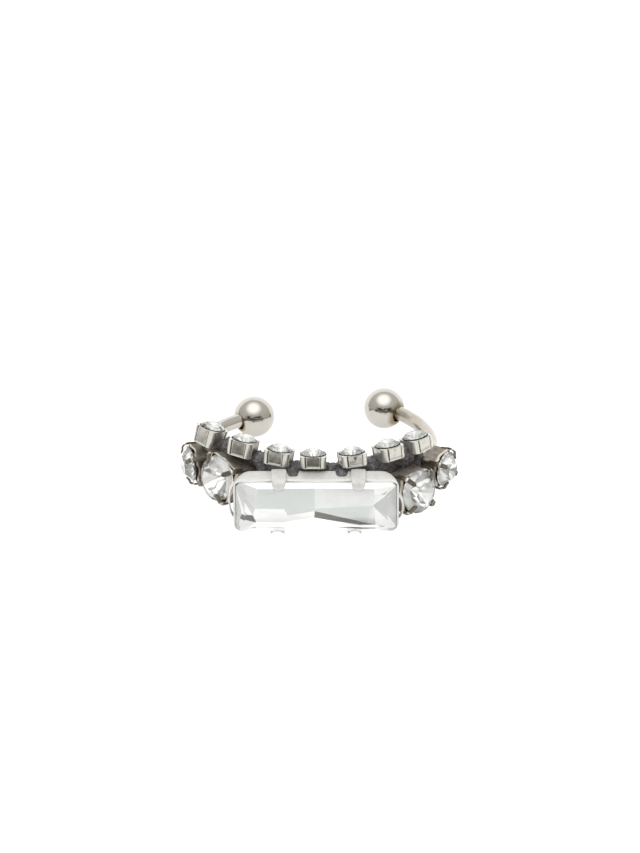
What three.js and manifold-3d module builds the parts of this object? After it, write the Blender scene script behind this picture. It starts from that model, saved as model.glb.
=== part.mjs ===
import * as THREE from 'three';
import { mergeVertices } from 'three/addons/utils/BufferGeometryUtils.js';
import Module from 'manifold-3d';

// An open finger ring of round wire with a ball on each end, set with crystals, lying on its side.
// Millimetres, +Z up. While it is built, the finger's axis is Z, the ring lies on about z = 0 and
// the centre stone faces -Y. Bearings are degrees round the finger's axis: 0 is the front, and
// positive goes towards +X.

const wasm = await Module();
wasm.setup();

// Driving dimensions.
const wireDiameter = 1.4;
const ballDiameter = 4.0;
const armRadius = 10.9;
const frontRadius = 10.8;
const stoneGap = 0.05;
const seatGap = 0.06;
const clawSeatGap = 0.3;

// The wire's centre line: reach is its distance from the finger's axis, height is above the
// surface that the ring lies on. The left arm is bent in further than the right one.
const wireStations = [
  { bearing: -139, reach: 9.16, height: 1.95 },
  { bearing: -124, reach: 9.62, height: 2.05 },
  { bearing: -109, reach: 10.3, height: 2.1 },
  { bearing: -90, reach: armRadius, height: 2.35 },
  { bearing: -65, reach: frontRadius, height: 2.7 },
  { bearing: -35, reach: frontRadius, height: 2.85 },
  { bearing: 0, reach: frontRadius, height: 2.9 },
  { bearing: 35, reach: frontRadius, height: 2.85 },
  { bearing: 65, reach: frontRadius, height: 2.7 },
  { bearing: 90, reach: armRadius, height: 2.35 },
  { bearing: 112, reach: 11.0, height: 2.1 },
  { bearing: 130, reach: 11.12, height: 1.97 },
  { bearing: 143, reach: 11.06, height: 1.95 },
];

// The drill hole where the wire enters a ball: its depth is from the ball's round surface.
const drillHole = { diameter: 1.9, depth: 0.6 };

// The centre setting is a box, open at the front. Y values are where its back, the stone's girdle
// and the wall's front lip lie, and middleZ is the height of its middle.
const centre = {
  stoneLength: 14.7,
  stoneHeight: 4.9,
  wall: 0.2,
  backY: -12.6,
  girdleY: -14.6,
  lipY: -14.75,
  middleZ: 2.9,
  backRound: 1.6,
};

// The centre stone's outlines, deepest first: inset is in from the girdle, depth is towards its face.
const centreStoneCut = 0.6;
const centreStoneRows = [
  { depth: -1.45, inset: 1.5 },
  { depth: -0.15, inset: 0 },
  { depth: 0.05, inset: 0 },
  { depth: 0.8, inset: 0.8 },
];

// The centre claws: along is where each stands on its long wall, edge is 1 on the upper wall. The
// profile runs from the girdle over the stone's edge: forward is past the girdle, down is from
// the claw's outer face.
const centreClaw = { width: 1.25, proud: 0.25, backLap: 0.15, sunk: 0.1 };
const centreClawProfile = [
  { forward: 0, down: 0 },
  { forward: 0.45, down: 0.12 },
  { forward: 0.82, down: 0.9 },
  { forward: 0.66, down: 1.0 },
  { forward: 0.3, down: 0.38 },
  { forward: 0, down: 0.3 },
];
const centreClawRows = [
  { along: -3.42, edge: 1 },
  { along: 3.87, edge: 1 },
  { along: -3.55, edge: -1 },
  { along: 3.55, edge: -1 },
];

// Two notches in the back edge of each long wall, and a rounded lug on each end wall.
const notch = { width: 0.78, depth: 0.98 };
const notchRows = [{ along: -2.13 }, { along: 2.36 }];
const lug = { reach: 0.35, height: 1.9, length: 0.9, back: 0.6 };

// The side stones: x, y and z place the middle of the girdle, turn is the bearing that the stone
// faces, lift is how far it looks up, stone is its diameter, and depth is how far its setting
// reaches behind the girdle.
const sideRows = [
  { name: 'left_outer', x: -11.85, y: -6.3, z: 3.25, turn: -74, lift: -4, stone: 3.4, depth: 1.7 },
  { name: 'left_inner', x: -9.23, y: -9.6, z: 3.4, turn: -47, lift: 12, stone: 4.3, depth: 1.9 },
  { name: 'right_inner', x: 9.56, y: -10.95, z: 2.65, turn: 43, lift: 8, stone: 4.1, depth: 2.5 },
  { name: 'right_outer', x: 12.26, y: -7.0, z: 3.05, turn: 60, lift: 0, stone: 3.35, depth: 2.2 },
];

// A round cut: shares of the girdle's radius, and heights above and below it.
const roundCut = { tableShare: 0.55, crownShare: 0.38, pavilionShare: 0.66, girdle: 0.15, culet: 0.2 };

// A side setting is a square box, widthShare of the stone wide, whose walls end just behind the
// girdle in a scallop. The claws go on from its cut corners and over the stone.
const sideWall = { widthShare: 0.86, corner: 0.35, backShare: 0.95, lip: -0.45 };
const scallop = { radiusShare: 0.42, riseShare: 0.65 };
const sideClaw = { width: 0.6, inner: 0.2, outer: 0.12, foot: 1.5, shoulder: 0.42, tipShare: 0.74, clear: 0.12 };

// The small cups along the top: x and y place the middle of the rim, turn is the bearing that the
// front panel faces, and tip is how far the top leans towards +X.
const cup = { width: 2.48, baseWidth: 2.38, rimWidth: 2.25, corner: 0.45, height: 1.35, shoulder: 0.18, rimZ: 7.0 };
const cupStone = { diameter: 2.1, table: 1.2, crown: 0.3, sides: 12 };
const cupRows = [
  { x: -9.6, y: -5.84, turn: -44, tip: 11 },
  { x: -6.6, y: -8.5, turn: -24, tip: 8 },
  { x: -3.35, y: -10.72, turn: -18, tip: 4 },
  { x: -0.26, y: -11.7, turn: 0, tip: 0 },
  { x: 3.31, y: -11.34, turn: 15, tip: -2 },
  { x: 6.6, y: -9.7, turn: 33, tip: -6 },
  { x: 9.18, y: -7.88, turn: 44, tip: -9 },
];

// The solder under and between the cups, which runs nearer the finger than they do by inside, where
// a lump rises after the numbered cup, counted from 0, and the solder behind each side setting.
const bed = { width: 1.1, inside: 0.4, bottom: 3.1, top: 5.65, steps: 24, lumpRadius: 0.8 };
const sideSolder = { radius: 1.1, behind: 0.5 };
const lumpRows = [
  { after: 0, top: 6.5 },
  { after: 1, top: 6.15 },
  { after: 2, top: 5.65 },
  { after: 3, top: 5.65 },
  { after: 4, top: 6.05 },
  { after: 5, top: 6.5 },
];

const brightSilver = new THREE.MeshStandardMaterial({ color: 0xd3d1cb, metalness: 1, roughness: 0.2 });
const agedSilver = new THREE.MeshStandardMaterial({ color: 0xa9a69c, metalness: 1, roughness: 0.35 });
const darkSilver = new THREE.MeshStandardMaterial({ color: 0x4b453e, metalness: 1, roughness: 0.45 });
const crystal = new THREE.MeshStandardMaterial({ color: 0xf2f5f4, metalness: 0, roughness: 0.05 });

const radians = THREE.MathUtils.degToRad;

function solidFrom(geometry) {
  const bare = geometry.clone();
  bare.deleteAttribute('normal');
  bare.deleteAttribute('uv');
  const merged = mergeVertices(bare, 1e-5);
  return new wasm.Manifold(new wasm.Mesh({
    numProp: 3,
    vertProperties: new Float32Array(merged.attributes.position.array),
    triVerts: new Uint32Array(merged.index.array),
  }));
}

function geometryFrom(solid) {
  const { vertProperties, triVerts } = solid.getMesh();
  const geometry = new THREE.BufferGeometry();
  geometry.setAttribute('position', new THREE.BufferAttribute(new Float32Array(vertProperties), 3));
  geometry.setIndex(new THREE.BufferAttribute(new Uint32Array(triVerts), 1));
  return geometry;
}

function joined(geometries) {
  return geometries.map(solidFrom).reduce((whole, piece) => whole.add(piece));
}

function cutAway(solid, geometries) {
  return geometries.map(solidFrom).reduce((rest, piece) => rest.subtract(piece), solid);
}

// A rectangle with its corners cut off, anticlockwise.
function cutRectangle(width, height, cut) {
  const right = width / 2;
  const top = height / 2;
  return [
    [right - cut, -top], [right, -top + cut], [right, top - cut], [right - cut, top],
    [-right + cut, top], [-right, top - cut], [-right, -top + cut], [-right + cut, -top],
  ];
}

// A closed convex solid through outlines that have the same number of corners, lowest first.
function loft(sections) {
  const corners = sections[0].outline.length;
  const positions = sections.flatMap(({ outline, z }) => outline.flatMap(([x, y]) => [x, y, z]));
  const faces = [];
  for (let level = 0; level + 1 < sections.length; level += 1) {
    for (let corner = 0; corner < corners; corner += 1) {
      const here = level * corners + corner;
      const next = level * corners + ((corner + 1) % corners);
      faces.push(here, next, next + corners, here, next + corners, here + corners);
    }
  }
  const top = (sections.length - 1) * corners;
  for (let corner = 1; corner + 1 < corners; corner += 1) {
    faces.push(0, corner + 1, corner, top, top + corner, top + corner + 1);
  }
  const geometry = new THREE.BufferGeometry();
  geometry.setAttribute('position', new THREE.Float32BufferAttribute(positions, 3));
  geometry.setIndex(faces);
  return geometry;
}

function extruded(points, depth) {
  const shape = new THREE.Shape(points.map(([x, y]) => new THREE.Vector2(x, y)));
  return new THREE.ExtrudeGeometry(shape, { depth, bevelEnabled: false });
}

function atBearing({ bearing, reach, height }) {
  const angle = radians(bearing);
  return new THREE.Vector3(reach * Math.sin(angle), -reach * Math.cos(angle), height);
}

// Turns a piece whose face looks along +Z so that it looks out at a bearing, lifted by lift.
function faceOut(object, turn, lift) {
  object.rotation.set(radians(90 - lift), 0, radians(turn), 'ZXY');
}

function placed(geometry, place, row) {
  const seat = new THREE.Object3D();
  place(seat, row);
  seat.updateMatrixWorld(true);
  return geometry.applyMatrix4(seat.matrixWorld);
}

// A small cup: square with cut corners, its rim curled in over a domed stone that is one with it.
function cupBody(allowance) {
  const square = (width) => cutRectangle(width + 2 * allowance, width + 2 * allowance, cup.corner);
  return loft([
    { z: -cup.height - allowance, outline: square(cup.baseWidth) },
    { z: -cup.shoulder, outline: square(cup.width) },
    { z: allowance, outline: square(cup.rimWidth) },
  ]);
}

function cupGeometry() {
  const height = cupStone.crown + cup.shoulder;
  const dome = new THREE.CylinderGeometry(cupStone.table / 2, cupStone.diameter / 2, height, cupStone.sides);
  dome.rotateX(radians(90));
  dome.translate(0, 0, cupStone.crown - height / 2);
  return geometryFrom(joined([cupBody(0), dome]));
}

function placeCup(object, row) {
  object.position.set(row.x, row.y, cup.rimZ);
  object.rotation.set(0, radians(row.tip), radians(row.turn), 'YXZ');
}

// A round cut stone, with its girdle on z = 0 and its table on top.
function crownHeight(row, radius) {
  const rim = row.stone / 2;
  const slope = roundCut.crownShare / (1 - roundCut.tableShare);
  return roundCut.girdle / 3 + slope * (rim - radius);
}

function sideStone(row, allowance) {
  const rim = row.stone / 2 + allowance;
  const table = (roundCut.tableShare * row.stone) / 2;
  const bottom = (-roundCut.pavilionShare * row.stone) / 2 - allowance;
  const top = crownHeight(row, table) + allowance;
  const profile = [
    [0, bottom],
    [roundCut.culet, bottom],
    [rim, (-2 * roundCut.girdle) / 3],
    [rim, roundCut.girdle / 3],
    [table + allowance, top],
    [0, top],
  ];
  const geometry = new THREE.LatheGeometry(profile.map(([r, z]) => new THREE.Vector2(r, z)), 16);
  return geometry.rotateX(radians(90));
}

// A side setting: a square box with scalloped walls and a claw over the stone at each corner.
function sideBody(row, allowance) {
  const front = sideWall.widthShare * row.stone + 2 * allowance;
  const back = front * sideWall.backShare;
  return loft([
    { z: -row.depth - allowance, outline: cutRectangle(back, back, sideWall.corner) },
    { z: sideWall.lip + allowance, outline: cutRectangle(front, front, sideWall.corner) },
  ]);
}

function sideClawGeometry(row, quarter) {
  const rim = row.stone / 2;
  const corner = (sideWall.widthShare * row.stone - sideWall.corner) / Math.SQRT2;
  const inner = corner - sideClaw.inner;
  const outer = corner + sideClaw.outer;
  const tip = sideClaw.tipShare * rim;
  const outline = [
    [inner, -sideClaw.foot],
    [outer, -sideClaw.foot + sideClaw.inner],
    [outer, roundCut.girdle],
    [inner + sideClaw.outer, crownHeight(row, rim) + sideClaw.shoulder],
    [tip, crownHeight(row, tip) + sideClaw.shoulder - sideClaw.clear],
    [tip, crownHeight(row, tip) + sideClaw.clear / 2],
    [rim, crownHeight(row, rim) + sideClaw.clear],
    [rim + sideClaw.clear, 0],
    [inner, -sideClaw.shoulder],
  ];
  const claw = extruded(outline, sideClaw.width);
  claw.translate(0, 0, -sideClaw.width / 2);
  claw.rotateX(radians(90));
  return claw.rotateZ(radians(45 + 90 * quarter));
}

function scallopGeometry(row, turn) {
  const radius = scallop.radiusShare * row.stone;
  const round = new THREE.CylinderGeometry(radius, radius, 2 * row.stone, 16);
  round.rotateZ(radians(turn));
  return round.translate(0, 0, sideWall.lip + scallop.riseShare * radius);
}

function sideSetting(row) {
  const walls = cutAway(solidFrom(sideBody(row, 0)), [scallopGeometry(row, 0), scallopGeometry(row, 90)]);
  const claws = [0, 1, 2, 3].map((quarter) => solidFrom(sideClawGeometry(row, quarter)));
  const whole = claws.reduce((sum, claw) => sum.add(claw), walls);
  return geometryFrom(cutAway(whole, [sideStone(row, stoneGap)]));
}

function placeSide(object, row) {
  object.position.set(row.x, row.y, row.z);
  faceOut(object, row.turn, row.lift);
}

// The centre setting: a box with rounded back corners, open at the front, with two claws over
// each long side, a rounded lug on each end, and two notches in the back of each long wall.
const outerLength = centre.stoneLength + 2 * (stoneGap + centre.wall);
const outerHeight = centre.stoneHeight + 2 * (stoneGap + centre.wall);
const pastLip = centre.lipY - 1;

function centreBlock(inset, frontY) {
  const half = outerLength / 2 - inset;
  const backY = centre.backY - inset;
  const round = centre.backRound - inset;
  const shape = new THREE.Shape();
  shape.moveTo(-half, frontY);
  shape.lineTo(half, frontY);
  shape.lineTo(half, backY - round);
  shape.absarc(half - round, backY - round, round, 0, Math.PI / 2, false);
  shape.lineTo(-half + round, backY);
  shape.absarc(-half + round, backY - round, round, Math.PI / 2, Math.PI, false);
  const depth = outerHeight - 2 * inset;
  const block = new THREE.ExtrudeGeometry(shape, { depth, bevelEnabled: false, curveSegments: 8 });
  return block.translate(0, 0, centre.middleZ - depth / 2);
}

function centreClawGeometry({ along, edge }) {
  const top = outerHeight / 2 + centreClaw.proud;
  const backY = centre.backY - centreClaw.backLap;
  const outline = [
    [backY, outerHeight / 2 - centreClaw.sunk],
    [backY, top],
    ...centreClawProfile.map(({ forward, down }) => [centre.girdleY - forward, top - down]),
  ];
  const claw = extruded(outline.map(([y, z]) => [y, z * edge]), centreClaw.width);
  claw.translate(0, 0, -centreClaw.width / 2);
  claw.rotateX(radians(90));
  claw.rotateZ(radians(90));
  return claw.translate(along, 0, centre.middleZ);
}

function notchGeometries({ along }) {
  return [-1, 1].map((edge) => {
    const slot = new THREE.BoxGeometry(notch.width, 2 * notch.depth, 3 * centre.wall);
    return slot.translate(along, centre.backY, centre.middleZ + (edge * outerHeight) / 2);
  });
}

function lugGeometry(end) {
  const bump = new THREE.CylinderGeometry(1, 1, lug.length, 16);
  bump.scale(lug.reach, 1, lug.height / 2);
  return bump.translate((end * outerLength) / 2, centre.lipY + lug.back, centre.middleZ);
}

function centreSetting() {
  const cavity = centreBlock(centre.wall, pastLip);
  const block = joined([centreBlock(0, centre.lipY), lugGeometry(-1), lugGeometry(1)]);
  const walls = cutAway(block, [cavity, ...notchRows.flatMap(notchGeometries)]);
  const claws = centreClawRows.map((row) => solidFrom(centreClawGeometry(row)));
  return geometryFrom(claws.reduce((sum, claw) => sum.add(claw), walls));
}

function centreStone() {
  const { stoneLength, stoneHeight } = centre;
  return loft(centreStoneRows.map(({ depth, inset }) => {
    const cut = centreStoneCut * (1 - inset / stoneHeight);
    return { z: depth, outline: cutRectangle(stoneLength - 2 * inset, stoneHeight - 2 * inset, cut) };
  }));
}

// The shank: one run of wire, a ball soldered on each end, and the solder that beds the settings.
function wireGeometry() {
  const section = new THREE.Shape();
  section.absarc(0, 0, wireDiameter / 2, 0, 2 * Math.PI);
  const extrudePath = new THREE.CatmullRomCurve3(wireStations.map(atBearing));
  return new THREE.ExtrudeGeometry(section, { steps: 48, curveSegments: 6, extrudePath });
}

function drilledBall(end, before) {
  const middle = atBearing(end);
  const outward = atBearing(before).sub(middle).normalize();
  const mouth = middle.clone().addScaledVector(outward, ballDiameter / 2);
  const radius = drillHole.diameter / 2;
  const hole = new THREE.CylinderGeometry(radius, radius, 2 * drillHole.depth, 14);
  hole.applyQuaternion(new THREE.Quaternion().setFromUnitVectors(new THREE.Vector3(0, 1, 0), outward));
  const ball = new THREE.SphereGeometry(ballDiameter / 2, 20, 12).translate(...middle);
  return cutAway(solidFrom(ball), [hole.translate(...mouth)]);
}

function bedGeometry() {
  const nearer = ({ x, y }) => new THREE.Vector3(x, y, 0).setLength(Math.hypot(x, y) - bed.inside);
  const route = new THREE.CatmullRomCurve3(cupRows.map(nearer));
  const shares = Array.from({ length: bed.steps + 1 }, (_, step) => step / bed.steps);
  const beside = (offset) => shares.map((share) => {
    const forward = route.getTangentAt(share);
    const point = route.getPointAt(share);
    return [point.x + forward.y * offset, point.y - forward.x * offset];
  });
  const outline = [...beside(bed.width / 2), ...beside(-bed.width / 2).reverse()];
  return extruded(outline, bed.top - bed.bottom).translate(0, 0, bed.bottom);
}

function lumpGeometry({ after, top }) {
  const here = cupRows[after];
  const next = cupRows[after + 1];
  const round = new THREE.SphereGeometry(bed.lumpRadius, 10, 6);
  return round.translate((here.x + next.x) / 2, (here.y + next.y) / 2, top - bed.lumpRadius);
}

function sideSolderGeometry(row) {
  const round = new THREE.SphereGeometry(sideSolder.radius, 10, 6);
  return placed(round.translate(0, 0, -row.depth - sideSolder.behind), placeSide, row);
}

function shank() {
  const soldered = joined([
    bedGeometry(),
    ...lumpRows.map(lumpGeometry),
    ...sideRows.map(sideSolderGeometry),
    wireGeometry(),
  ]);
  const whole = soldered
    .add(drilledBall(wireStations.at(0), wireStations.at(1)))
    .add(drilledBall(wireStations.at(-1), wireStations.at(-2)));
  return geometryFrom(cutAway(whole, [
    centreBlock(-seatGap - centreClaw.proud, centre.lipY),
    ...cupRows.map((row) => placed(cupBody(seatGap), placeCup, row)),
    ...sideRows.map((row) => placed(sideBody(row, clawSeatGap), placeSide, row)),
  ]));
}

const ring = new THREE.Group();

function add(name, geometry, material) {
  const mesh = new THREE.Mesh(geometry, material);
  mesh.name = name;
  ring.add(mesh);
  return mesh;
}

add('shank', shank(), brightSilver);
add('centre_setting', centreSetting(), brightSilver);

const stone = add('centre_stone', centreStone(), crystal);
stone.position.set(0, centre.girdleY, centre.middleZ);
faceOut(stone, 0, 0);

for (const row of sideRows) {
  placeSide(add(`side_setting_${row.name}`, sideSetting(row), darkSilver), row);
  placeSide(add(`side_stone_${row.name}`, sideStone(row, 0), crystal), row);
}

cupRows.forEach((row, position) => {
  placeCup(add(`cup_${position + 1}`, cupGeometry(), agedSilver), row);
});

// The origin is the middle of the ring's footprint, on the surface that it lies on.
const box = new THREE.Box3().setFromObject(ring, true);
const middle = box.getCenter(new THREE.Vector3());
ring.position.set(-middle.x, -middle.y, -box.min.z);

export default ring;
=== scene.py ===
import bmesh
import bpy
from math import asin, atan2, copysign, cos, pi, radians, sin, sqrt
from mathutils import Matrix, Vector, noise


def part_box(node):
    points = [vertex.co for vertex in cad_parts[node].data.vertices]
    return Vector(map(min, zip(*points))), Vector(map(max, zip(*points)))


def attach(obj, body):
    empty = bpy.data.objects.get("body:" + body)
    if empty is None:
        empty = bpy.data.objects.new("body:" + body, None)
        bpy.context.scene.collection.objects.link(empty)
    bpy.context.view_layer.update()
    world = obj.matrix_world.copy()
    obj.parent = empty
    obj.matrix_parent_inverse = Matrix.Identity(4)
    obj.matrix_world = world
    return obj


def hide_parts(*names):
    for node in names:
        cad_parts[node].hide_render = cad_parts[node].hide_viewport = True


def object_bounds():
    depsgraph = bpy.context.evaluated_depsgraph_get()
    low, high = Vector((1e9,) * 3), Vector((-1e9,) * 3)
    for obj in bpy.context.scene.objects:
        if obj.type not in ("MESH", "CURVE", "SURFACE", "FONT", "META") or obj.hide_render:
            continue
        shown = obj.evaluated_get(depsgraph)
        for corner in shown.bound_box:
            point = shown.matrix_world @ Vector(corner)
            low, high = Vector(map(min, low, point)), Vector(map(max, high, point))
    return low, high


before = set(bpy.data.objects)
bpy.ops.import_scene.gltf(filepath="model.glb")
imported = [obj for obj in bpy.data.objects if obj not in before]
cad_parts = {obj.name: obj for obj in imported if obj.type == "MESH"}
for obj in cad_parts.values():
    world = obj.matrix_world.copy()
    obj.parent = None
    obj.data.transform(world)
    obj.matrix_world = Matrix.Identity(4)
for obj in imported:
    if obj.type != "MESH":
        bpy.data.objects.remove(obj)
cad_low, cad_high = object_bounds()


# ---- the camera ----
# The ring lies on its side, seen from the front and a little above. Everything is placed from the
# finger's axis, which lies behind the face of the centre stone. Sizes are in millimetres, and MM is
# one of them in metres.

MM = 0.001
stone_low, stone_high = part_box("centre_stone")
centre_face_reach = 15.4
centre_middle_height = 2.9
finger_axis = Vector((
    (stone_low.x + stone_high.x) / 2,
    stone_low.y + centre_face_reach * MM,
    (stone_low.z + stone_high.z) / 2 - centre_middle_height * MM,
))

camera_distance = 350.0
camera_elevation = radians(26.0)
camera_aim = Vector((0.38, 1.64, 3.37))
camera_lens = 154.36
camera_range = (0.01, 20.0)
camera_back = -camera_distance * cos(camera_elevation)
camera_place = Vector((0, camera_back, camera_distance * sin(camera_elevation)))

camera_data = bpy.data.cameras.new("camera")
camera_data.lens = camera_lens
camera_data.clip_start, camera_data.clip_end = camera_range
camera = bpy.data.objects.new("camera", camera_data)
bpy.context.scene.collection.objects.link(camera)
camera.location = finger_axis + camera_place * MM
camera.rotation_mode = "QUATERNION"
camera.rotation_quaternion = (camera_aim - camera_place).to_track_quat("-Z", "Y")
bpy.context.scene.camera = camera


# ---- the studio ----
# A lit white table in a white tent, with a soft bright patch overhead. The tent is open towards
# the camera: polished metal shows the dimmer room there, with a thin dark band of clutter in it.

class Field:
    """A number that varies from place to place: a node socket that takes part in sums."""

    def __init__(self, paint, socket):
        self.paint = paint
        self.socket = socket

    def __add__(self, other):
        return self.paint.maths("ADD", self, other)

    __radd__ = __add__

    def __sub__(self, other):
        return self.paint.maths("SUBTRACT", self, other)

    def __rsub__(self, other):
        return self.paint.maths("SUBTRACT", other, self)

    def __mul__(self, other):
        return self.paint.maths("MULTIPLY", self, other)

    __rmul__ = __mul__

    def between(self, low, high):
        """0 up to low, 1 from high on, with a smooth step between."""
        settings = {"interpolation_type": "SMOOTHSTEP"}
        sockets = {"Value": self, "From Min": low, "From Max": high}
        return self.paint.node("MapRange", settings, sockets)


class Paint:
    """The node tree of one finish."""

    def __init__(self, tree):
        self.tree = tree
        tree.nodes.clear()

    def node(self, kind, settings=None, sockets=None, output=0):
        """Makes one node: its settings first, then the values or links of its sockets."""
        made = self.tree.nodes.new("ShaderNode" + kind)
        for setting, value in (settings or {}).items():
            setattr(made, setting, value)
        for socket, value in (sockets or {}).items():
            if isinstance(value, Field):
                self.tree.links.new(value.socket, made.inputs[socket])
            else:
                made.inputs[socket].default_value = value
        return Field(self, made.outputs[output]) if made.outputs else None

    def maths(self, operation, *terms):
        """One sum over numbers and fields."""
        return self.node("Math", {"operation": operation}, dict(enumerate(terms)))

    def blend(self, share, low, high):
        """A colour that goes from low to high as share goes from 0 to 1."""
        low = low if isinstance(low, Field) else (*low, 1)
        high = high if isinstance(high, Field) else (*high, 1)
        return self.node("Mix", {"data_type": "RGBA"}, {0: share, 6: low, 7: high}, output=2)

    def grain(self, size, detail=2.0, roughness=0.5):
        """Clouds about size millimetres across, from 0 to 1."""
        return self.node("TexNoise", {}, {
            "Vector": self.node("TexCoord", output="Object"),
            "Scale": 1 / (size * MM), "Detail": detail, "Roughness": roughness,
        }, output="Fac")

    def surface(self, sockets):
        """Ends the tree in one surface with these values."""
        shader = self.node("BsdfPrincipled", {}, sockets)
        self.node("OutputMaterial", {}, {"Surface": shader})


def new_finish(name):
    """A finish, and the paint that makes it."""
    finish = bpy.data.materials.new(name)
    finish.use_nodes = True
    return finish, Paint(finish.node_tree)


room_low = (0.74, 0.71, 0.66)
room_high = (0.94, 0.93, 0.90)
tent_white = (1.6, 1.6, 1.58)
lamp_white = (2.4, 2.4, 2.4)
clutter_dark = (0.04, 0.034, 0.026)
clutter_light = (0.28, 0.25, 0.21)
lamp_elevation = radians(75)

world = bpy.data.worlds.new("tent")
bpy.context.scene.world = world
world.use_nodes = True
sky = Paint(world.node_tree)
direction = sky.node("TexCoord", output="Generated")
north = sky.node("SeparateXYZ", {}, {"Vector": direction}, output="Y")
sky_height = sky.node("SeparateXYZ", {}, {"Vector": direction}, output="Z")


def facing(bearing_point):
    """How nearly a direction of the sky is the one given: 1 where it is, -1 on the far side."""
    sockets = {0: direction, 1: bearing_point.normalized()}
    return sky.node("VectorMath", {"operation": "DOT_PRODUCT"}, sockets, output="Value")


clutter = sky.node("TexNoise", {}, {"Vector": direction, "Scale": 6.0, "Detail": 4.0}, output="Fac")
room_side = facing(camera_place).between(-0.36, -0.16)
room = sky.blend(sky_height.between(0.0, 0.8), room_low, room_high)
walls = sky.blend(room_side, tent_white, room)
band_top = 0.16 + 0.5 * clutter
band = sky_height.between(0.03, 0.09) * (1 - (sky_height - band_top).between(-0.05, 0.05))
band = band * (0 - north).between(0.55, 0.85)
band_colour = sky.blend(clutter.between(0.5, 0.68), clutter_dark, clutter_light)
walls = sky.blend(band, walls, band_colour)
lamp_place = Vector((-0.05, -cos(lamp_elevation), sin(lamp_elevation)))
dome = sky.blend(facing(lamp_place).between(0.70, 1.0), walls, lamp_white)
backdrop = sky.node("Background", {}, {"Color": dome, "Strength": 1.0})
sky.node("OutputWorld", {}, {"Surface": backdrop})

floor_reach = 0.6
floor_corners = [(-1, -1), (1, -1), (1, 1), (-1, 1)]
floor_points = [(x * floor_reach, y * floor_reach, cad_low.z) for x, y in floor_corners]
floor_mesh = bpy.data.meshes.new("floor")
floor_mesh.from_pydata(floor_points, [], [(0, 1, 2, 3)])
floor = bpy.data.objects.new("floor", floor_mesh)
bpy.context.scene.collection.objects.link(floor)
white_table, table_paint = new_finish("white_table")
table_paint.surface({
    "Base Color": (0.35, 0.35, 0.35, 1), "Roughness": 1.0, "Specular IOR Level": 0.0,
    "Emission Color": (1, 1, 1, 1), "Emission Strength": 1.0,
})
floor_mesh.materials.append(white_table)
bpy.context.scene.view_settings.view_transform = "Standard"


# ---- the wire and its two balls ----
# One run of round silver-plated wire, bent by hand to an open ring. Each end is pushed into the
# drill hole of a plated ball and soldered there, so a shadow shows round it in the hole.

def blank_mesh():
    """An empty mesh that can hold, at each point, how dark it is with old polish, and with shade
    and light painted in places.
    """
    mesh = bmesh.new()
    mesh.verts.layers.float.new("patina_and_painted_light")
    return mesh


def skin(mesh, rings, caps=True):
    """Covers rings of points with quads, and closes the first and last ring."""
    loops = [[mesh.verts.new(point) for point in ring] for ring in rings]
    for lower, upper in zip(loops, loops[1:]):
        for here in range(len(lower)):
            there = (here + 1) % len(lower)
            mesh.faces.new((lower[here], lower[there], upper[there], upper[here]))
    if caps:
        mesh.faces.new(loops[0][::-1])
        mesh.faces.new(loops[-1])
    return loops


def wear(mesh, loops, wear_and_painted_light):
    """Writes how dark each point is with old polish and painted shade and light, from
    wear_and_painted_light(ring, point).
    """
    layer = mesh.verts.layers.float["patina_and_painted_light"]
    for ring, loop in enumerate(loops):
        for point, vertex in enumerate(loop):
            vertex[layer] = wear_and_painted_light(ring, point)


def show(name, mesh, finishes, node, place=Matrix.Identity(4), smooth=40):
    """Makes a piece of the ring from a mesh in millimetres, which place puts in the ring."""
    mesh.transform(Matrix.Translation(finger_axis) @ Matrix.Scale(MM, 4) @ place)
    bmesh.ops.recalc_face_normals(mesh, faces=mesh.faces)
    data = bpy.data.meshes.new(name)
    mesh.to_mesh(data)
    mesh.free()
    for finish in finishes:
        data.materials.append(finish)
    if smooth:
        data.shade_smooth()
        data.set_sharp_from_angle(angle=radians(smooth))
    thing = bpy.data.objects.new(name, data)
    bpy.context.scene.collection.objects.link(thing)
    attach(thing, "root")
    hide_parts(node)


def plate(name, clean, tarnish, roughness, spots, dullness=0.0, mirror=1.0):
    """A plated finish: clean metal, darker where patina and painted shade lie, lighter where light
    is painted, mottled at the scale of spots.
    """
    finish, paint = new_finish(name)
    mottle = paint.grain(spots, detail=4.0, roughness=0.6)
    fine = paint.grain(spots / 6)
    patina_and_painted_light = paint.node("Attribute", {"attribute_name": "patina_and_painted_light"}, output="Fac")
    wear_and_painted_light = (patina_and_painted_light * (0.55 + 0.9 * mottle)).between(0.12, 0.95)
    dark = wear_and_painted_light + dullness * mottle.between(0.5, 0.75) * (1 - wear_and_painted_light)
    colour = paint.blend(dark, clean, tarnish)
    shine = roughness + 0.22 * dark + 0.06 * mottle
    bump = paint.node("Bump", {}, {
        "Strength": 0.35, "Distance": 0.02 * MM, "Height": fine * 0.5 + mottle * 0.5,
    })
    paint.surface({"Base Color": colour, "Metallic": mirror, "Roughness": shine, "Normal": bump})
    return finish


# Its tarnish colour also paints the brown reflection round the right ball's hole.
polished_plate = plate(
    "polished_plate", clean=(0.46, 0.44, 0.405), tarnish=(0.23, 0.18, 0.11),
    roughness=0.06, spots=0.9, dullness=0.12,
)

wire_radius = 0.7
wire_sides = 28
wire_steps = 12
wire_stain = 0.75
wire_stain_rings = 10
wire_dullness = 0.42
wire_dull_rings = (96, 112)
# Bearings round the finger, with the wire's reach and height at each.
wire_stations = [
    (-139, 9.16, 1.95), (-124, 9.62, 2.05), (-109, 10.3, 2.1), (-90, 10.9, 2.35),
    (-65, 10.8, 2.7), (-35, 10.8, 2.85), (0, 10.8, 2.9), (35, 10.8, 2.85), (65, 10.8, 2.7),
    (90, 10.9, 2.35), (112, 11.0, 2.1), (130, 11.12, 1.97), (143, 11.06, 1.95),
]


def at_bearing(bearing, reach, height):
    """A point round the finger's axis: bearing 0 is the front, and positive goes to the right."""
    return Vector((reach * sin(radians(bearing)), -reach * cos(radians(bearing)), height))


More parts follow.
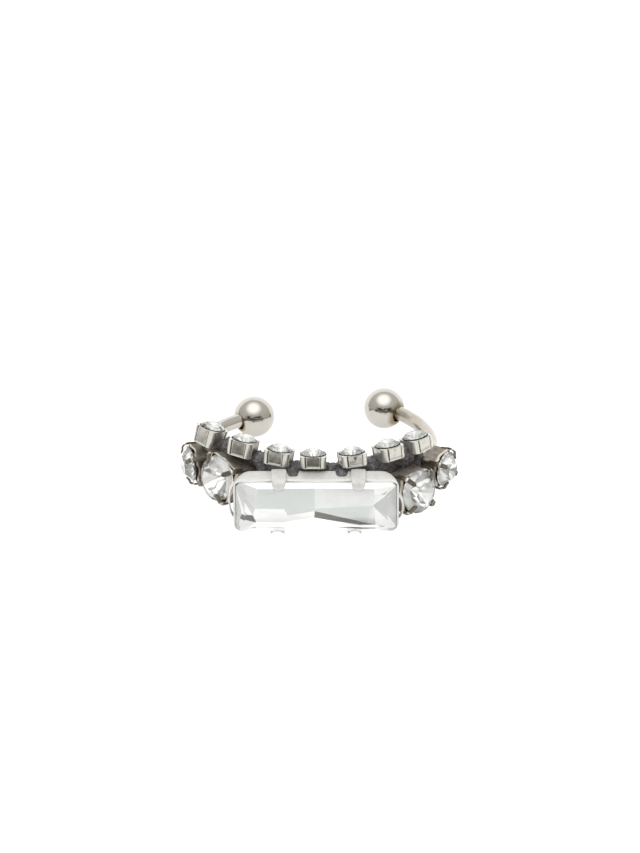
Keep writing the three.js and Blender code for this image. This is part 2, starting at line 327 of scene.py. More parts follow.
def smooth_run(points, steps):
    """Points along a smooth curve through the given ones, steps to each stretch."""
    padded = [2 * points[0] - points[1], *points, 2 * points[-1] - points[-2]]
    run = []
    for before, here, there, after in zip(padded, padded[1:], padded[2:], padded[3:]):
        for number in range(steps):
            share = number / steps
            run.append(0.5 * (
                2 * here + share * (there - before)
                + share * share * (2 * before - 5 * here + 4 * there - after)
                + share * share * share * (3 * here - before - 3 * there + after)
            ))
    return [*run, points[-1]]


def along(run, upright, section):
    """Rings that carry section(place), flat points of (outward, upright), along a run."""
    rings = []
    for place, point in enumerate(run):
        forward = (run[min(place + 1, len(run) - 1)] - run[max(place - 1, 0)]).normalized()
        outward = forward.cross(upright).normalized()
        upward = outward.cross(forward)
        rings.append([point + outward * out + upward * up for out, up in section(place)])
    return rings


def oval(half_width, half_height, sides, squareness=2.0):
    """Points round an oval, which squareness above 2 fills out towards a rectangle."""
    points = []
    for side in range(sides):
        turn = 2 * pi * side / sides
        across = copysign(abs(cos(turn)) ** (2 / squareness), cos(turn))
        rise = copysign(abs(sin(turn)) ** (2 / squareness), sin(turn))
        points.append((half_width * across, half_height * rise))
    return points


def step(value, low, high):
    """A soft step from 0 at low to 1 at high."""
    share = min(1, max(0, (value - low) / (high - low)))
    return share * share * (3 - 2 * share)


def wire_patina(ring, point):
    """The wire is stained near both balls, and dull along its right end."""
    end_rings = min(ring, len(wire_loops) - ring)
    stain = wire_stain * max(0, 1 - end_rings / wire_stain_rings)
    return max(stain, wire_dullness * step(ring, *wire_dull_rings))


up = Vector((0, 0, 1))
wire_section = oval(wire_radius, wire_radius, wire_sides)
wire_run = smooth_run([at_bearing(*station) for station in wire_stations], wire_steps)
wire_mesh = blank_mesh()
wire_loops = skin(wire_mesh, along(wire_run, up, lambda place: wire_section))
wear(wire_mesh, wire_loops, wire_patina)
show("wire", wire_mesh, [polished_plate], "shank", smooth=60)

ball_radius = 1.995
hole_radius = 0.82
hole_depth = 0.6
hole_sag = 0.11
hole_bottom = (0.3, 0.05)
# How much narrower than the hole, and how far below its mouth.
hole_bevel = [(0.03, 0.005), (0.09, 0.03), (0.12, 0.09)]
ball_rings = 60
ball_sides = 96
ball_start = 0.15


def ball(name, end, before, darkened_rings):
    """A drilled ball, turned as one outline round the way that the wire leaves it."""
    hole_edge = asin(hole_radius / ball_radius)
    outline = []
    for ring in range(ball_rings):
        turn = pi - (pi - hole_edge) * (ring + ball_start) / ball_rings
        outline.append((ball_radius * sin(turn), ball_radius * cos(turn)))
    mouth = ball_radius * cos(hole_edge)
    floor_level = ball_radius - hole_depth
    outline += [(hole_radius - narrower, mouth - lower) for narrower, lower in hole_bevel]
    outline.append((hole_radius - hole_bevel[-1][0], floor_level))
    outline.append((hole_bottom[0], floor_level - hole_bottom[1]))
    mesh = blank_mesh()
    circle = oval(1.0, 1.0, ball_sides)
    rings = [[(radius * x, radius * y, rise) for x, y in circle] for radius, rise in outline]
    loops = skin(mesh, rings)
    # The ball darkens towards its hole and is dark inside it: tarnish at the solder, with painted
    # shade in the hole.
    darkening_start = ball_rings - darkened_rings
    wear(mesh, loops, lambda ring, point: min(1.0, max(0.0, (ring - darkening_start) / darkened_rings)))
    drilled = (before - end).normalized() - hole_sag * up
    turn = drilled.to_track_quat("Z", "Y").to_matrix().to_4x4()
    show(name, mesh, [polished_plate], "shank", Matrix.Translation(end) @ turn)


ball("ball_left", wire_run[0], wire_run[1], darkened_rings=3)
# The wider darkening on the right ball paints the brown reflection that shows round its hole.
ball("ball_right", wire_run[-1], wire_run[-2], darkened_rings=9)


# ---- the solder ----
# Grey solder, built up by hand on the wire as a bed for the cups, with a lump between each two
# cups, more behind each side setting, and a little run into the notches of the centre setting.

# Where the cups stand, how far each is turned and tipped sideways, and how dark its panels are.
cup_table = [
    {"x": -9.6, "y": -5.84, "turn": -44, "tip": 7, "wear_and_painted_light": 0.53},
    {"x": -6.6, "y": -8.5, "turn": -24, "tip": 6, "wear_and_painted_light": 0.74},
    {"x": -3.35, "y": -10.72, "turn": -18, "tip": 4, "wear_and_painted_light": 0.7},
    {"x": -0.26, "y": -11.7, "turn": 0, "tip": 0, "wear_and_painted_light": 0.86},
    {"x": 3.31, "y": -11.34, "turn": 15, "tip": -2, "wear_and_painted_light": 0.46},
    {"x": 6.6, "y": -9.7, "turn": 33, "tip": -2, "wear_and_painted_light": 0.18},
    {"x": 9.18, "y": -7.88, "turn": 44, "tip": -3, "wear_and_painted_light": 0.16},
]
bed_bottom = 3.1
bed_top = 5.7
bed_half_width = 0.42
bed_squareness = 5.0
bed_sides = 24
bed_steps = 6
bed_inside = 0.55
end_drop = 0.55
lump_radius = 0.8
lump_tops = [6.3, 6.0, 5.65, 5.65, 6.0, 6.4]
under_lump = {"drop": 0.7, "inward": 0.35, "size": 0.9}
# Lumps behind the side settings, and those in each notch: where the middle is, and the radius.
side_lumps = [
    (-10.1, -5.2, 3.0, 0.9), (-7.4, -7.8, 3.0, 0.9), (7.5, -8.4, 3.0, 0.9), (9.9, -5.6, 3.0, 0.9),
    (-9.3, -6.6, 4.3, 0.75), (-9.3, -6.9, 3.5, 0.85),
    (9.3, -6.6, 4.3, 0.75), (9.3, -6.9, 3.5, 0.85),
    (-9.8, -6.1, 4.7, 0.6), (-8.9, -6.4, 5.2, 0.6),
]
notch_places = [-2.13, 2.36]
notch_lumps = [(-13.1, 5.3, 0.5), (-12.3, 5.2, 0.55)]
melt_size = 0.08
melt_rounds = 5
# How fine each grain of the solder is, and how far it stands out.
solder_grains = [(1.3, 0.14), (4.5, 0.13), (9.0, 0.08)]
stain_reach = -5.6
stain_bottom = (3.7, 4.1)
stain_top = (4.8, 5.3)
stain_outside = (11.4, 11.8)


def worked(mesh, *steps):
    """Runs modifiers over a mesh in millimetres, each given as its kind and its settings."""
    data = bpy.data.meshes.new("worked")
    mesh.to_mesh(data)
    mesh.free()
    blank = bpy.data.objects.new("worked", data)
    bpy.context.scene.collection.objects.link(blank)
    for kind, settings in steps:
        modifier = blank.modifiers.new(kind, kind)
        for setting, value in settings.items():
            setattr(modifier, setting, value)
    evaluated = blank.evaluated_get(bpy.context.evaluated_depsgraph_get())
    shaped = bmesh.new()
    shaped.from_mesh(bpy.data.meshes.new_from_object(evaluated))
    bpy.data.objects.remove(blank)
    return shaped


solder_mesh = bmesh.new()
bed_run = []
for row in cup_table:
    below = Vector((row["x"], row["y"], 0))
    below.length -= bed_inside
    drop = end_drop if row in (cup_table[0], cup_table[-1]) else 0.0
    bed_run.append(below + up * ((bed_bottom + bed_top) / 2 - drop))
bed_run = smooth_run(bed_run, bed_steps)
bed_section = oval(bed_half_width, (bed_top - bed_bottom) / 2, bed_sides, bed_squareness)
skin(solder_mesh, along(bed_run, up, lambda place: bed_section))
solder_lumps = []
for (here, there), top in zip(zip(cup_table, cup_table[1:]), lump_tops):
    middle = Vector(((here["x"] + there["x"]) / 2, (here["y"] + there["y"]) / 2, top - lump_radius))
    inward = Vector((-middle.x, -middle.y, 0)).normalized()
    under = middle - under_lump["drop"] * up + under_lump["inward"] * inward
    solder_lumps += [(middle, lump_radius), (under, under_lump["size"] * lump_radius)]
solder_lumps += [(Vector(middle), radius) for *middle, radius in side_lumps]
for x in notch_places:
    solder_lumps += [(Vector((x, y, z)), radius) for y, z, radius in notch_lumps]
for middle, radius in solder_lumps:
    lump_place = Matrix.Translation(middle)
    bmesh.ops.create_icosphere(solder_mesh, subdivisions=3, radius=radius, matrix=lump_place)
solder_mesh = worked(
    solder_mesh,
    ("REMESH", {"mode": "VOXEL", "voxel_size": melt_size}),
    ("SMOOTH", {"iterations": melt_rounds}),
)
solder_mesh.normal_update()
stain_layer = solder_mesh.verts.layers.float.new("stain")
for vertex in solder_mesh.verts:
    level = vertex.co.z
    stain = step(stain_reach - vertex.co.x, 0, 1) * step(level, *stain_bottom)
    stain *= (1 - step(level, *stain_top)) * step(vertex.co.xy.length, *stain_outside)
    vertex[stain_layer] = stain
    rise = sum(height * noise.noise(vertex.co * fineness) for fineness, height in solder_grains)
    vertex.co += vertex.normal * rise

solder_dark = (0.06, 0.056, 0.058)
solder_light = (0.19, 0.18, 0.185)
solder_bright = (0.42, 0.40, 0.41)
stain_dark = (0.14, 0.115, 0.09)
stain_light = (0.46, 0.41, 0.34)
solder_grey, solder_paint = new_finish("solder_grey")
solder_cloud = solder_paint.grain(0.6, detail=5.0, roughness=0.7)
solder_speck = solder_paint.grain(0.12, detail=3.0)
solder_colour = solder_paint.blend(solder_cloud.between(0.3, 0.7), solder_dark, solder_light)
speckled = solder_speck.between(0.55, 0.75) * 0.5
solder_colour = solder_paint.blend(speckled, solder_colour, solder_bright)
solder_stain = solder_paint.node("Attribute", {"attribute_name": "stain"}, output="Fac")
stain_cloud = solder_paint.grain(0.9, detail=3.0)
stain_colour = solder_paint.blend(stain_cloud.between(0.4, 0.62), stain_dark, stain_light)
solder_colour = solder_paint.blend(solder_stain, solder_colour, stain_colour)
solder_bump = solder_paint.node("Bump", {}, {
    "Strength": 0.9, "Distance": 0.05 * MM, "Height": solder_speck,
})
solder_paint.surface({
    "Base Color": solder_colour, "Metallic": 0.35, "Roughness": 0.4 + 0.25 * solder_cloud,
    "Normal": solder_bump,
})
show("solder", solder_mesh, [solder_grey], "shank", smooth=80)


# ---- the centre setting ----
# A stamped box of silver-plated sheet with rounded back corners, open at the front. Two claws on
# each long wall fold over the stone, and a bowed strap stands out from each end.

bright_plate = plate(
    "bright_plate", clean=(0.66, 0.66, 0.64), tarnish=(0.24, 0.225, 0.20),
    roughness=0.45, spots=0.7, dullness=0.06, mirror=0.3,
)
# A lighter copy of the plate for the lower part of the box: painted light, for the white floor it
# faces.
painted_light_plate = plate(
    "painted_light_plate", clean=(0.92, 0.92, 0.91), tarnish=(0.5, 0.49, 0.46),
    roughness=0.3, spots=0.7, dullness=0.06,
)

box_wall = 0.2
box_half_length = 7.6
box_half_height = 2.7
back_reach = 12.6
lip_reach = 14.42
corner_round = 1.6
notch_half_width = 0.58
notch_depth = 1.15
notch_drop = 0.19
end_round_back = 1.6
end_round_front = 0.8
wall_drops = (0.6, 1.2)
thinnest = 0.02
lip_edge_run = 0.4
lip_edge_share = 0.35
lip_edge_drop = 0.1
painted_light_below = 1.9
lip_bows = [
    {"start": -7.45, "end": -4.2, "bow": 0.2},
    {"start": -2.6, "end": 3.1, "bow": 0.17},
    {"start": 4.6, "end": 7.45, "bow": 0.2},
]


def back_at(x, inset):
    """How far back the box's wall lies, less inset, at x along its length."""
    radius = corner_round - inset
    past = max(0, abs(x) - (box_half_length - corner_round))
    return -(back_reach + inset) - (radius - sqrt(max(0, radius ** 2 - min(past, radius) ** 2)))


def lip_at(x):
    """The front edge, which bows forward between the claws."""
    for row in lip_bows:
        middle = (row["start"] + row["end"]) / 2
        half = (row["end"] - row["start"]) / 2
        if abs(x - middle) < half:
            return -lip_reach - row["bow"] * (1 - ((x - middle) / half) ** 2)
    return -lip_reach


def top_at(x, y):
    """Half the box's height: its ends are rounded off, most of all at the back."""
    back_share = min(1, max(0, (lip_reach + y) / (lip_reach - back_reach)))
    radius = end_round_front + (end_round_back - end_round_front) * back_share
    past = min(radius, max(0, abs(x) - (box_half_length - radius)))
    return box_half_height - (radius - sqrt(radius ** 2 - past ** 2))


def notch_at(x):
    """How far a notch runs in from the back edge, with a round bottom."""
    for middle in notch_places:
        share = abs(x - middle) / notch_half_width
        if share < 1:
            return notch_depth * (1 - share ** 4) ** 0.5
    return 0.0


def box_section(x, cavity):
    """One slice across the box, from the back round the top and the bottom."""
    back = back_at(x, 0)
    front = lip_at(x)
    inner_back = back_at(x, box_wall) if cavity else front
    notch_end = back - notch_at(x)
    notch_floor = notch_drop if notch_at(x) else 0.0
    lip_back = front + min(lip_edge_run, lip_edge_share * (notch_end - front))
    upper = []
    for y, drop in [
        (back, wall_drops[1]), (back, wall_drops[0]), (back, notch_floor), (notch_end, notch_floor),
        (notch_end, 0.0), ((notch_end + front) / 2, 0.0), (lip_back, 0.0),
        (front, lip_edge_drop), (front, box_wall), ((inner_back + front) / 2, box_wall),
        (inner_back, box_wall), (inner_back, wall_drops[1]),
    ]:
        upper.append((y, max(thinnest, top_at(x, y) - drop)))
    return [Vector((x, y, z)) for y, z in [*upper, *((y, -z) for y, z in upper[::-1])]]


slice_spacing = 0.15
inner_end = box_half_length - box_wall
inner_step = 0.002
bend_turns = [radians(6 * turn) for turn in range(1, 16)]
bends = [box_half_length - corner_round * (1 - sin(turn)) for turn in bend_turns]
slices = [(slice_spacing * place, True) for place in range(-40, 41)]
slices += [(side * x, x < inner_end) for x in bends for side in (-1, 1)]
for middle in notch_places:
    slices += [(middle + notch_half_width * share / 12, True) for share in range(-12, 13)]
for side in (-1, 1):
    slices += [(side * (inner_end - inner_step), True), (side * inner_end, False)]
slices.sort()

satin_haze = 0.36
cavity_painted_light = 0.15
# The lip's points are left clean: a painted highlight line.
lip_points = (7, 8, 15, 16)


def box_tone_and_painted_light(ring, point):
    """The plate is satin outside, lighter in the cavity as painted light against its shade, and the
    lip between them is left clean as a painted highlight.
    """
    if point in lip_points:
        return 0.0
    return cavity_painted_light if lip_points[1] < point < lip_points[2] else satin_haze


box_mesh = blank_mesh()
wear(box_mesh, skin(box_mesh, [box_section(*row) for row in slices]), box_tone_and_painted_light)
bmesh.ops.remove_doubles(box_mesh, verts=box_mesh.verts, dist=1e-4)
box_mesh = worked(box_mesh, ("BEVEL", {
    "width": 0.04, "segments": 2, "limit_method": "ANGLE", "angle_limit": radians(42),
    "use_clamp_overlap": True,
}))
strap_squareness = 3.5
strap_least = 0.02


def strap(mesh, run, sideways, half_width, thickness, tip=0.0, sides=24, patina_and_painted_light=lambda share: 0.05):
    """A flat strap along a run, half_width to each side, whose end is rounded off over tip."""
    lengths = [0.0]
    for here, there in zip(run, run[1:]):
        lengths.append(lengths[-1] + (there - here).length)

    def section(place):
        left = lengths[-1] - lengths[place]
        share = sqrt(max(strap_least, 1 - (1 - left / tip) ** 2)) if left < tip else 1.0
        half_thick = thickness / 2 * (0.5 + 0.5 * share)
        half_wide = half_width(lengths[place] / lengths[-1]) * share
        return oval(half_thick, half_wide, sides, strap_squareness)

    loops = skin(mesh, along(run, sideways, section))
    wear(mesh, loops, lambda ring, point: patina_and_painted_light(lengths[ring] / lengths[-1]))


centre_claws = [
    {"along": -3.42, "edge": 1}, {"along": 3.87, "edge": 1},
    {"along": -3.55, "edge": -1}, {"along": 3.55, "edge": -1},
]
claw_route = [
    (-12.5, 2.62), (-12.56, 2.75), (-12.8, 2.81), (-13.6, 2.82), (-14.4, 2.82),
    (-14.85, 2.78), (-15.1, 2.62), (-15.24, 2.34), (-15.26, 2.0),
]
claw_width = 0.69
claw_taper = 0.5
claw_taper_from = 0.66
claw_thickness = 0.24
claw_tip = 0.5
strap_steps = 6
right = Vector((1, 0, 0))


def claw_half_width(share):
    """The claws are even up to their last third, and narrow towards the tip."""
    return claw_width - claw_taper * max(0, share - claw_taper_from)


def satin(share):
    """The claws are as satin as the box, all along."""
    return satin_haze


for row in centre_claws:
    route = [Vector((row["along"], y, z * row["edge"])) for y, z in claw_route]
    run = smooth_run(route, strap_steps)
    strap(box_mesh, run, right, claw_half_width, claw_thickness, tip=claw_tip, patina_and_painted_light=satin)

lugs = [{"side": -1, "middle": 0.45, "half": 1.65}, {"side": 1, "middle": -0.2, "half": 1.15}]
lug_route = [
    (7.5, 1.0), (7.7, 0.9), (7.9, 0.55), (7.97, 0.0), (7.9, -0.55), (7.7, -0.9), (7.5, -1.0),
]
lug_reach = -13.95
lug_half_width = 0.42
lug_thickness = 0.16
backward = Vector((0, 1, 0))
for row in lugs:
    levels = [(row["side"] * x, row["middle"] + row["half"] * share) for x, share in lug_route]
    run = smooth_run([Vector((x, lug_reach, level)) for x, level in levels], strap_steps)
    strap(box_mesh, run, backward, lambda share: lug_half_width, lug_thickness)

# Faces low on the box take the lighter copy of the plate, as painted light.
for face in box_mesh.faces:
    face.material_index = 1 if face.calc_center_median().z < -painted_light_below else 0
raised = Matrix.Translation((0, 0, centre_middle_height))
box_plates = [bright_plate, painted_light_plate]
show("centre_box", box_mesh, box_plates, "centre_setting", raised, smooth=50)


# ---- the centre stone ----
# A long glass stone with cut corners, bevelled round its flat front. Its back is cut in long
# facets and covered with mirror foil, which the front shows. Each facet's foil has its own tone,
# painted to copy the light and dark reflections in the stone, and two of the foils glow as painted
# light.

crystal_glass, glass_paint = new_finish("crystal_glass")
glass_cloud = glass_paint.grain(2.5)
glass_colour = glass_paint.blend(glass_cloud, (0.97, 0.985, 0.98), (0.99, 0.985, 0.99))
glass_paint.surface({
    "Base Color": glass_colour, "Roughness": 0.004 + 0.008 * glass_cloud, "IOR": 1.55,
    "Transmission Weight": 1.0,
})


def foil(name, colour, roughness, mirror, painted_glow=0.0):
    """Uneven mirror foil behind glass; painted_glow is painted light, a glow for the light that the
    cut gathers on it.
    """
    finish, paint = new_finish(name)
    cloud = paint.grain(0.8)
    darker = tuple(0.92 * part for part in colour)
    tint = paint.blend(cloud.between(0.35, 0.65) * 0.5, colour, darker)
    paint.surface({
        "Base Color": tint, "Metallic": mirror, "Roughness": roughness + 0.03 * cloud,
        "Emission Color": (1, 1, 1, 1), "Emission Strength": painted_glow,
    })
    return finish


# Foils for the side stones: dealt out facet by facet, their tones paint the light and dark
# reflections in the stones.
foils = [
    foil("foil_plain", (0.96, 0.96, 0.955), 0.16, 0.6),
    foil("foil_rose", (0.80, 0.76, 0.77), 0.16, 0.6),
    foil("foil_grey", (0.5, 0.495, 0.485), 0.16, 0.7),
    foil("foil_green", (0.84, 0.87, 0.82), 0.16, 0.6),
]

stone_half_length = 7.35
stone_half_height = 2.45
girdle_reach = 14.6
girdle_back = 0.15
girdle_front = 0.05
table_rise = 0.8
bevel = 0.8
corner_cut = 0.36
corner_shrink = 0.3


def cut_oblong(inset):
    """The stone's outline with its corners cut off, drawn in by inset."""
    half_length = stone_half_length - inset
    half_height = stone_half_height - inset
    cut = corner_cut * (1 - corner_shrink * inset)
    quarter = [(half_length, half_height - cut), (half_length - cut, half_height)]
    upper = [*quarter, *((-x, z) for x, z in quarter[::-1])]
    return [*upper, *((-x, -z) for x, z in upper)]


# Foils for the centre stone, whose tones paint reflections; the white and bright ones also glow as
# painted light.
stone_foils = [
    foil("foil_white", (1.0, 1.0, 1.0), 0.25, 0.15, 0.14),
    foil("foil_pale", (0.83, 0.84, 0.83), 0.2, 0.4),
    foil("foil_misty", (0.68, 0.71, 0.69), 0.2, 0.4),
    foil("foil_shady", (0.17, 0.165, 0.15), 0.3, 0.5),
    foil("foil_bright", (1.0, 1.0, 1.0), 0.25, 0.1, 0.36),
]
WHITE, PALE, MISTY, SHADY, BRIGHT = 1, 2, 3, 4, 5

# The corners of the back's facets: x and z along and across the stone, and their depth.
back_corners = {
    "top_left": (-5.35, 1.25, 0.82), "top": (-0.13, 1.3, 0.84), "top_right": (5.35, 1.25, 0.82),
    "left": (-5.6, -0.3, 0.95), "left_inner": (-2.95, -0.35, 0.95), "left_low": (-2.6, -1.0, 0.95),
    "middle_upper": (-0.13, -0.3, 0.95), "middle": (-0.13, -0.55, 0.95),
    "middle_low": (-0.16, -1.2, 0.92),
    "right": (5.2, 0.0, 0.95), "right_low": (4.7, -1.75, 0.9), "wedge_low": (4.05, -1.95, 0.88),
    "low_left": (-5.5, -1.7, 0.85), "low_right": (5.5, -1.9, 0.8), "low": (-2.95, -1.65, 0.85),
    "left_dark_a": (-6.68, -1.28, 0.6), "left_dark_b": (-6.4, -0.85, 0.7),
    "left_dark_c": (-5.82, -0.95, 0.85),
}
# Facets of the back, each with the foil tone that paints its reflection.
back_facets = [
    (MISTY, "top_left top middle_upper left_inner left"),
    (MISTY, "left_inner middle_upper middle left_low"),
    (WHITE, "left left_inner left_low low low_left"),
    (WHITE, "left_low middle middle_low low"),
    (PALE, "top top_right right middle_upper"),
    (MISTY, "middle_upper right right_low middle"),
    (SHADY, "middle right_low wedge_low middle_low"),
    (SHADY, "low_left left_dark_a left_dark_b left_dark_c"),
    (WHITE, "left low_left left_dark_c"),
]
# The facets from the girdle to those corners: the tone (which paints the facet's reflection),
# corners of the girdle and of the back.
edge_facets = [
    (BRIGHT, (1, 2), "top_left top"), (BRIGHT, (1,), "top top_right"),
    (BRIGHT, (0, 1), "top_right"), (PALE, (2, 3), "top_left"), (PALE, (3,), "top_left left"),
    (PALE, (3,), "left left_dark_c"), (WHITE, (3,), "left_dark_c left_dark_b"),
    (PALE, (3, 4), "left_dark_b"), (MISTY, (4,), "left_dark_b left_dark_a"),
    (PALE, (4, 5), "left_dark_a"), (WHITE, (5,), "left_dark_a low_left"),
    (BRIGHT, (5,), "low_left low"), (BRIGHT, (5, 6), "low"), (BRIGHT, (6,), "low middle_low"),
    (BRIGHT, (6,), "middle_low wedge_low"), (BRIGHT, (6,), "wedge_low low_right"),
    (PALE, (6, 7), "low_right"), (WHITE, (7,), "low_right right"), (PALE, (7, 0), "right"),
    (WHITE, (0,), "right top_right"), (SHADY, (), "wedge_low right_low low_right"),
    (PALE, (), "right_low right low_right"),
]

stone_mesh = bmesh.new()
stone_rings = [
    [(x, -girdle_reach + girdle_back, z) for x, z in cut_oblong(0)],
    [(x, -girdle_reach - girdle_front, z) for x, z in cut_oblong(0)],
    [(x, -girdle_reach - table_rise, z) for x, z in cut_oblong(bevel)],
]
stone_loops = skin(stone_mesh, stone_rings, caps=False)
stone_mesh.faces.new(stone_loops[-1])
corners = {
    name: stone_mesh.verts.new((x, -girdle_reach + depth, z))
    for name, (x, z, depth) in back_corners.items()
}


def back_facet(tone, points):
    """One facet of the back, in the tone of its foil."""
    stone_mesh.faces.new(points).material_index = tone


for tone, names in back_facets:
    points = [corners[name] for name in names.split()]
    for place in range(1, len(points) - 1):
        back_facet(tone, (points[0], points[place], points[place + 1]))
for tone, places, names in edge_facets:
    outer = [stone_loops[0][place] for place in places]
    inner = [corners[name] for name in names.split()]
    back_facet(tone, (*outer, *inner))
stone_finishes = [crystal_glass, *stone_foils]
show("centre_crystal", stone_mesh, stone_finishes, "centre_stone", raised, smooth=0)


# ---- the side settings ----
# Four square boxes of dark plated sheet, each with a round stone. The walls end behind the stone in
# a scallop with a rubbed, brighter edge that carries a painted highlight, and a claw goes on from
# each corner and over the stone. The walls are dark with tarnish and painted shade, and each top
# wall is lighter as painted light.

# The tarnish colour also paints the shade on the walls.
dark_plate = plate(
    "dark_plate", clean=(0.62, 0.57, 0.48), tarnish=(0.105, 0.092, 0.07),
    roughness=0.12, spots=0.5, dullness=0.2, mirror=0.6,
)

# Which way each stone faces, how far up it looks, and how its box is rolled round it. Cut is how
# far its facets are turned, and wear_and_painted_light is how dark the top wall of its box is, set
# lighter than the other walls as painted light.
side_table = [
    {"name": "left_outer", "turn": -74, "lift": -4, "roll": -8,
     "stone": 3.4, "depth": 1.7, "cut": 0.1, "wear_and_painted_light": 0.8},
    {"name": "left_inner", "turn": -47, "lift": 12, "roll": -13,
     "stone": 4.3, "depth": 2.7, "cut": 0.35, "wear_and_painted_light": 0.52},
    {"name": "right_inner", "turn": 43, "lift": 8, "roll": -3,
     "stone": 4.1, "depth": 2.5, "cut": 0.0, "wear_and_painted_light": 0.42},
    {"name": "right_outer", "turn": 60, "lift": 0, "roll": 10,
     "stone": 3.35, "depth": 2.2, "cut": 0.25, "wear_and_painted_light": 0.75},
]
# The foil of each back facet of a side stone, which paints its reflection.
pavilion_tones = [1, 3, 1, 2, 1, 4, 3, 1]


def brilliant(mesh, radius, table, crown, girdle, depth, tones, first=0.0, edge=0):
    """A round cut with its girdle on the level: a table, 8 broad facets round it and 8 behind."""

    def ring(count, reach, level, ahead=0.0):
        turns = [2 * pi * (place + ahead + first * count) / count for place in range(count)]
        return [mesh.verts.new((reach * cos(turn), reach * sin(turn), level)) for turn in turns]

    table_ring = ring(8, table, girdle / 3 + crown)
    rim = ring(16, radius, girdle / 3)
    base = ring(16, radius, -2 * girdle / 3)
    culet = mesh.verts.new((0, 0, -2 * girdle / 3 - depth))
    mesh.faces.new(table_ring)
    for place in range(8):
        after = (place + 1) % 8
        here, middle, there = 2 * place, 2 * place + 1, 2 * after
        mesh.faces.new((table_ring[place], rim[here], rim[there], table_ring[after]))
        mesh.faces.new((rim[here], rim[middle], rim[there]))
        mesh.faces.new((rim[here], base[here], base[middle], rim[middle])).material_index = edge
        mesh.faces.new((rim[middle], base[middle], base[there], rim[there])).material_index = edge
        for corners in [(culet, base[here], base[here - 1]), (culet, base[middle], base[here])]:
            mesh.faces.new(corners).material_index = tones[place]


def settled(node, turn, points):
    """The place, round the finger's axis, that centres turned points in a node's box."""
    low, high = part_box(node)
    turned = [turn @ Vector(point) for point in points]
    middle = Vector([(max(values) + min(values)) / 2 for values in zip(*turned)])
    return Matrix.Translation(((low + high) / 2 - finger_axis) / MM - middle) @ turn


side_girdle = 0.15
side_flat = 0.52
side_crown = 0.38
side_pavilion = 0.66
side_pavilion_short = 0.1
setting_share = 0.87
setting_back_share = 0.96
setting_round = 0.24
setting_lip = -0.32
scallop_share = 0.42
scallop_rise = 0.86
sheet = 0.16
sheet_round = 0.05
sheet_edge = 1.02
back_inset = 0.1
back_round = 0.03
outer_rows = 14
inner_rows = 10
edge_rows_rubbed_and_highlit = (15, 18)
edge_rubbed_and_highlit = 0.3
wall_points = 24
wall_corner = 6


def rounded_square(half, corner, per_side, per_corner):
    """Points round a square with rounded corners."""
    straight = half - corner
    points = []
    for side in range(4):
        spin = Matrix.Rotation(pi / 2 * side, 2)
        for number in range(per_side):
            points.append(spin @ Vector((half, straight * (2 * number / per_side - 1))))
        for number in range(per_corner):
            bend = pi / 2 * number / per_corner
            point = (straight + corner * cos(bend), straight + corner * sin(bend))
            points.append(spin @ Vector(point))
    return points


def setting_walls(mesh, stone, depth, wear_and_painted_light):
    """One sheet, up the outside from the back, over the scalloped edge and down the inside."""
    scallop = scallop_share * stone
    half = setting_share * stone / 2
    rows = [(0.0, back_inset, 0.0), (0.0, back_round, 0.0)]
    rows += [(row / outer_rows, 0.0, back_round) for row in range(outer_rows + 1)]
    rows += [(sheet_edge, sheet_round, 0.0), (sheet_edge, sheet - sheet_round, 0.0)]
    rows += [(1 - row / inner_rows, sheet, sheet) for row in range(inner_rows + 1)]
    rings = []
    for share, inset, foot in rows:
        ring = []
        for x, y in rounded_square(1.0, setting_round / half, wall_points, wall_corner):
            beside = min(abs(x), abs(y)) * half
            edge = setting_lip
            if beside < scallop:
                arc = sqrt(scallop ** 2 - beside ** 2)
                edge = min(edge, setting_lip + scallop_rise * scallop - arc)
            base = foot - depth
            level = base + (edge - base) * share
            back_share = (setting_lip - level) / (depth + setting_lip)
            width = half * (1 - (1 - setting_back_share) * back_share) - inset
            ring.append((x * width, y * width, level))
        rings.append(ring)
    loops = skin(mesh, rings)

    def tarnish_and_painted_light(ring, point):
        """Dark with tarnish and painted shade, except the edge, which is rubbed and carries a
        painted highlight, and the top wall, which is lighter as painted light.
        """
        if edge_rows_rubbed_and_highlit[0] <= ring <= edge_rows_rubbed_and_highlit[1]:
            return edge_rubbed_and_highlit
        side = (point + wall_corner // 2) // (wall_points + wall_corner)
        return wear_and_painted_light if side == 1 and ring < edge_rows_rubbed_and_highlit[0] else 1.0

    wear(mesh, loops, tarnish_and_painted_light)


side_claw_half = 0.25
side_claw_taper = 0.02
side_claw_thickness = 0.19
side_claw_tip = 0.3
claw_tarnish = 0.92
# A lighter patch at each claw's bend: rubbed plating with a painted glint.
claw_bend = {"wear_and_painted_light": 0.75, "middle": 0.55, "reach": 0.06}
crown_slope = 0.38 / 0.45
# A claw up its corner, as reach beyond the corner and level, and then over the stone, as a share
# of the stone's radius and height above the crown.
claw_foot = [(-0.12, -1.1), (-0.07, -0.75), (-0.02, -0.4), (-0.03, -0.08), (-0.13, 0.16)]
claw_shoulder = {"share": 0.46, "in": 0.04, "level": 0.33}
claw_over = [(0.84, 0.13), (0.68, 0.1)]


def crown_level(stone, reach):
    """The level of a stone's crown at a reach from its middle."""
    return side_girdle / 3 + crown_slope * (stone / 2 - reach)


def claw_wear_and_glint(share):
    """A claw is dark, except where its bend is rubbed bright and a glint is painted on it."""
    near = max(0.0, 1 - abs(share - claw_bend["middle"]) / claw_bend["reach"])
    return claw_tarnish - claw_bend["wear_and_painted_light"] * near


